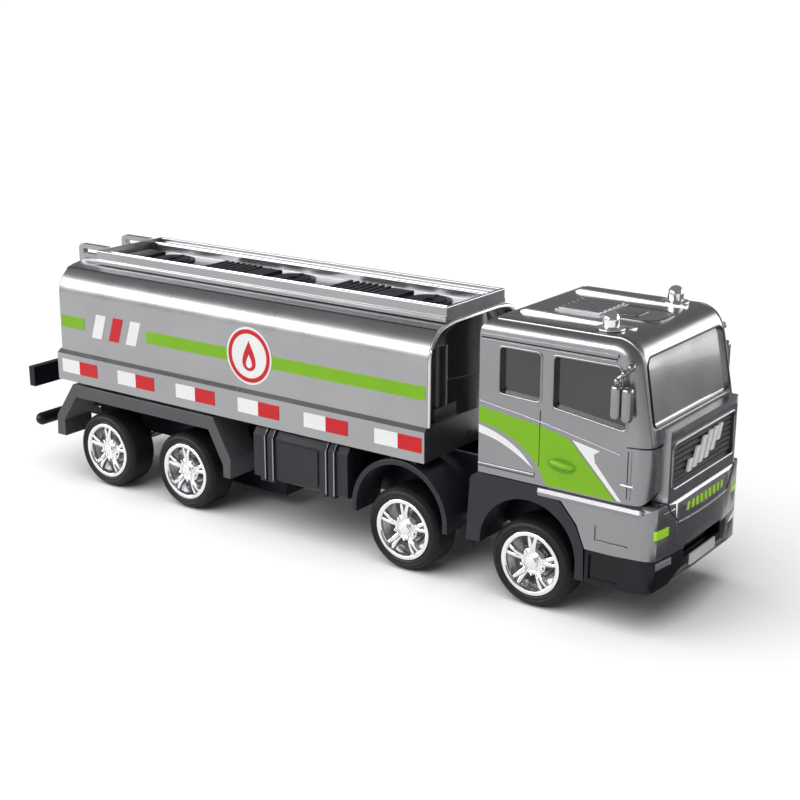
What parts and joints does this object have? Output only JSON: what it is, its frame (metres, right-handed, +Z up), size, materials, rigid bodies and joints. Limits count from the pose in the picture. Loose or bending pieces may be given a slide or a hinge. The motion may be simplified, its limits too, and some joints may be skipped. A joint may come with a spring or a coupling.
{
  "type": "toy tanker truck",
  "caption": "Friction-motor toy tanker truck in silver moulded plastic: cab, rounded tank with roof walkway, mudguards and axles that roll.",
  "frame": {"origin": "the middle of the truck's box, on the ground under the wheels", "axes": "+X to the truck's front, +Y to its left-hand side, +Z up"},
  "size_m": [0.286, 0.0732, 0.101],
  "materials": {
    "tyre": "moulded soft black vinyl",
    "rim": "bright vacuum-metallised plastic",
    "steel": "bright drawn steel",
    "gear": "natural acetal",
    "motor_case": "moulded black",
    "chassis": "moulded blue-black",
    "fender": "moulded dark grey, satin",
    "guard": "moulded mid grey, satin",
    "silver": "silver-grey metallic lacquer on moulded plastic",
    "tank_front": "dark bright plastic",
    "bright": "bright silver lacquer",
    "glazing": "smoked clear styrene",
    "grille": "moulded near-black",
    "lower_bumper": "moulded gloss black",
    "headlamp": "lime lacquer",
    "plate": "blank light grey"
  },
  "bodies": {
    "truck_body": {"cab_floor": "chassis", "cab_glazing": "glazing", "cab_shell": "silver", "chassis_frame": "chassis", "chassis_screws": "steel", "fog_lamps": "bright", "front_bumper": "silver", "front_fender_left": "fender", "front_fender_right": "fender", "grille_insert": "grille", "headlamps": "headlamp", "lower_bumper": "lower_bumper", "manhole_covers": "chassis", "mid_fender_left": "fender", "mid_fender_right": "fender", "mirror_left": "silver", "mirror_right": "silver", "motor_case_left": "motor_case", "motor_case_right": "motor_case", "number_plate": "plate", "rear_guard_left": "guard", "rear_guard_right": "guard", "rear_ladder": "silver", "rear_light_bar": "chassis", "roof_beacons": "silver", "roof_louvre": "silver", "roof_rails": "bright", "side_box_left": "fender", "side_box_right": "fender", "tank_deck": "silver", "tank_front_panel": "tank_front", "tank_shell": "silver", "tread_plates": "chassis", "underrun_bar": "chassis", "walkway_rails": "bright", "walkway_tray": "silver"},
    "wheelset_1": {"axle_1": "steel", "rim_1_left": "rim", "rim_1_right": "rim", "tyre_1_left": "tyre", "tyre_1_right": "tyre"},
    "wheelset_2": {"axle_2": "steel", "rim_2_left": "rim", "rim_2_right": "rim", "tyre_2_left": "tyre", "tyre_2_right": "tyre"},
    "wheelset_3": {"axle_3": "steel", "rim_3_left": "rim", "rim_3_right": "rim", "tyre_3_left": "tyre", "tyre_3_right": "tyre", "drive_gear": "gear"},
    "wheelset_4": {"axle_4": "steel", "rim_4_left": "rim", "rim_4_right": "rim", "tyre_4_left": "tyre", "tyre_4_right": "tyre"},
    "gear_cluster": {"cluster_gear": "gear"},
    "flywheel_rotor": {"flywheel": "steel"}
  },
  "joints": [
    {"name": "wheelset_1_spin", "type": "hinge", "parent": "truck_body", "child": "wheelset_1", "pos_m": [0.0966, 0, 0.015], "axis": [0, 1, 0], "continuous": true},
    {"name": "wheelset_2_spin", "type": "hinge", "parent": "truck_body", "child": "wheelset_2", "pos_m": [0.0455, 0, 0.015], "axis": [0, 1, 0], "continuous": true},
    {"name": "wheelset_3_spin", "type": "hinge", "parent": "truck_body", "child": "wheelset_3", "pos_m": [-0.0571, 0, 0.015], "axis": [0, 1, 0], "continuous": true},
    {"name": "wheelset_4_spin", "type": "hinge", "parent": "truck_body", "child": "wheelset_4", "pos_m": [-0.0998, 0, 0.015], "axis": [0, 1, 0], "continuous": true},
    {"name": "cluster_spin", "type": "hinge", "parent": "truck_body", "child": "gear_cluster", "pos_m": [-0.0481, 0, 0.0217], "axis": [0, 1, 0], "continuous": true},
    {"name": "flywheel_spin", "type": "hinge", "parent": "truck_body", "child": "flywheel_rotor", "pos_m": [-0.03625, 0, 0.026], "axis": [0, 1, 0], "continuous": true}
  ],
  "couplings": [
    {"joint": "cluster_spin", "follows": "wheelset_3_spin", "ratio": -2.2},
    {"joint": "flywheel_spin", "follows": "wheelset_3_spin", "ratio": 5.72}
  ]
}
